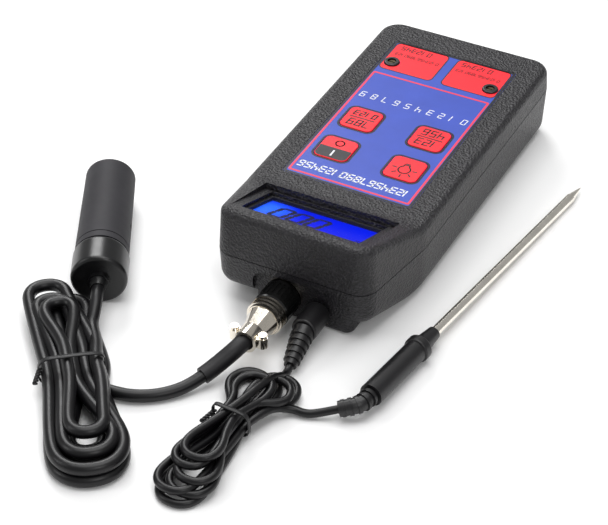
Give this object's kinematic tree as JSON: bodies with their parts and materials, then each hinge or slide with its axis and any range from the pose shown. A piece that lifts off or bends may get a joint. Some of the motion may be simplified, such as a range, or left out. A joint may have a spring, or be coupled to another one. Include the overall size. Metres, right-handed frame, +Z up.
{
  "type": "water quality probe",
  "caption": "Handheld water quality meter with a display, keys, a conductivity probe and a needle temperature probe on leads.",
  "frame": {"origin": "on the ground under the middle of the meter's case", "axes": "+X across the case, -Y towards the display and sockets, +Y towards the grip end, +Z up"},
  "size_m": [0.1801, 0.2895, 0.0428],
  "materials": {
    "case_black": "fine pebble texture",
    "overlay_blue": "satin printed film",
    "key_red": "satin printed film",
    "key_grey_red": "satin, half red and half dark grey",
    "trim_ring_black": "moulded",
    "trimmer_blue": "moulded",
    "adjuster_brass": "machined",
    "screw_steel": "plated",
    "window_clear": "clear acrylic with a printed frame",
    "gasket_black": "matte foam",
    "lcd_blue": "lit display",
    "backlight_white": "diffusing",
    "board_green": "solder mask",
    "switch_black": "moulded",
    "battery_can": "plain wrap",
    "contact_nickel": "plated",
    "snap_black": "moulded",
    "foam_grey": "foam",
    "socket_nickel": "nickel plated",
    "insert_black": "moulded",
    "coupling_black": "knurled",
    "plug_nickel": "nickel plated",
    "shrink_grey": "matte shrink tube",
    "cable_black": "satin jacket",
    "tie_black": "covered wire",
    "probe_gloss": "polished",
    "probe_matte": "matte turned",
    "o_ring_rubber": "smooth",
    "electrode_steel": "polished",
    "jack_metal": "plated",
    "mould_black": "moulded",
    "sensor_amber": "bead"
  },
  "bodies": {
    "meter": {"backlight": "backlight_white", "battery_case": "battery_can", "battery_leads": "snap_black", "battery_pad": "foam_grey", "battery_snap": "snap_black", "battery_studs": "contact_nickel", "board_chips": "switch_black", "board_screws": "screw_steel", "bottom_shell": "case_black", "cable_clamp": "plug_nickel", "case_screws": "screw_steel", "clamp_screws": "plug_nickel", "display_gasket": "gasket_black", "display_window": "window_clear", "jack_socket": "insert_black", "jack_socket_nut": "socket_nickel", "lcd_carrier": "board_green", "lcd_glass": "lcd_blue", "main_board": "board_green", "membrane_overlay": "overlay_blue", "plug_insert": "insert_black", "plug_pins": "contact_nickel", "plug_shell": "plug_nickel", "probe_body": "probe_gloss", "probe_cable": "cable_black", "probe_cable_tail": "cable_black", "probe_electrodes": "electrode_steel", "probe_gland": "probe_gloss", "probe_hank": "cable_black", "probe_hank_tie": "tie_black", "probe_o_ring": "o_ring_rubber", "round_socket": "socket_nickel", "round_socket_insert": "insert_black", "round_socket_nut": "socket_nickel", "shrink_tube": "shrink_grey", "tact_switches": "switch_black", "top_shell": "case_black", "trimmer_bodies": "trimmer_blue", "trimmer_rings": "trim_ring_black"},
    "power_key": {"key_power": "key_grey_red"},
    "mode_key": {"key_mode": "key_red"},
    "unit_key": {"key_unit": "key_red"},
    "light_key": {"key_light": "key_red"},
    "left_trimmer": {"trimmer_screw_left": "adjuster_brass"},
    "right_trimmer": {"trimmer_screw_right": "adjuster_brass"},
    "battery_cover": {"battery_door": "case_black"},
    "coupling": {"coupling_nut": "coupling_black"},
    "probe_sleeve": {"probe_cover": "probe_matte"},
    "temp_lead": {"jack_plug_pin": "jack_metal", "jack_plug_body": "mould_black", "temp_cable": "cable_black", "temp_hank": "cable_black", "temp_hank_tie": "tie_black", "temp_cable_tail": "cable_black", "temp_relief": "mould_black", "temp_handle": "mould_black", "temp_needle": "electrode_steel", "sensor_bead": "sensor_amber"}
  },
  "joints": [
    {"name": "power_key_press", "type": "slide", "parent": "meter", "child": "power_key", "axis": [0, 0, -1], "range_m": [0, 0.0004], "stiffness_N_per_m": 1200, "springref_m": -0.0008},
    {"name": "mode_key_press", "type": "slide", "parent": "meter", "child": "mode_key", "axis": [0, 0, -1], "range_m": [0, 0.0004], "stiffness_N_per_m": 1200, "springref_m": -0.0008},
    {"name": "unit_key_press", "type": "slide", "parent": "meter", "child": "unit_key", "axis": [0, 0, -1], "range_m": [0, 0.0004], "stiffness_N_per_m": 1200, "springref_m": -0.0008},
    {"name": "light_key_press", "type": "slide", "parent": "meter", "child": "light_key", "axis": [0, 0, -1], "range_m": [0, 0.0004], "stiffness_N_per_m": 1200, "springref_m": -0.0008},
    {"name": "left_trimmer_turn", "type": "hinge", "parent": "meter", "child": "left_trimmer", "pos_m": [-0.0227, 0.053, 0.031], "axis": [0, 0, 1], "range_deg": [-135, 135]},
    {"name": "right_trimmer_turn", "type": "hinge", "parent": "meter", "child": "right_trimmer", "pos_m": [0.0227, 0.053, 0.031], "axis": [0, 0, 1], "range_deg": [-135, 135]},
    {"name": "battery_cover_slide", "type": "slide", "parent": "meter", "child": "battery_cover", "axis": [0, 1, 0], "range_m": [0, 0.066]},
    {"name": "coupling_turn", "type": "hinge", "parent": "meter", "child": "coupling", "pos_m": [-0.003, -0.09, 0.0115], "axis": [0, 1, 0], "continuous": true},
    {"name": "probe_sleeve_slide", "type": "slide", "parent": "meter", "child": "probe_sleeve", "axis": [-0.4562, 0.8899, 0], "range_m": [0, 0.03]},
    {"name": "temp_plug_pull", "type": "slide", "parent": "meter", "child": "temp_lead", "axis": [0, -1, 0], "range_m": [0, 0.015]}
  ]
}
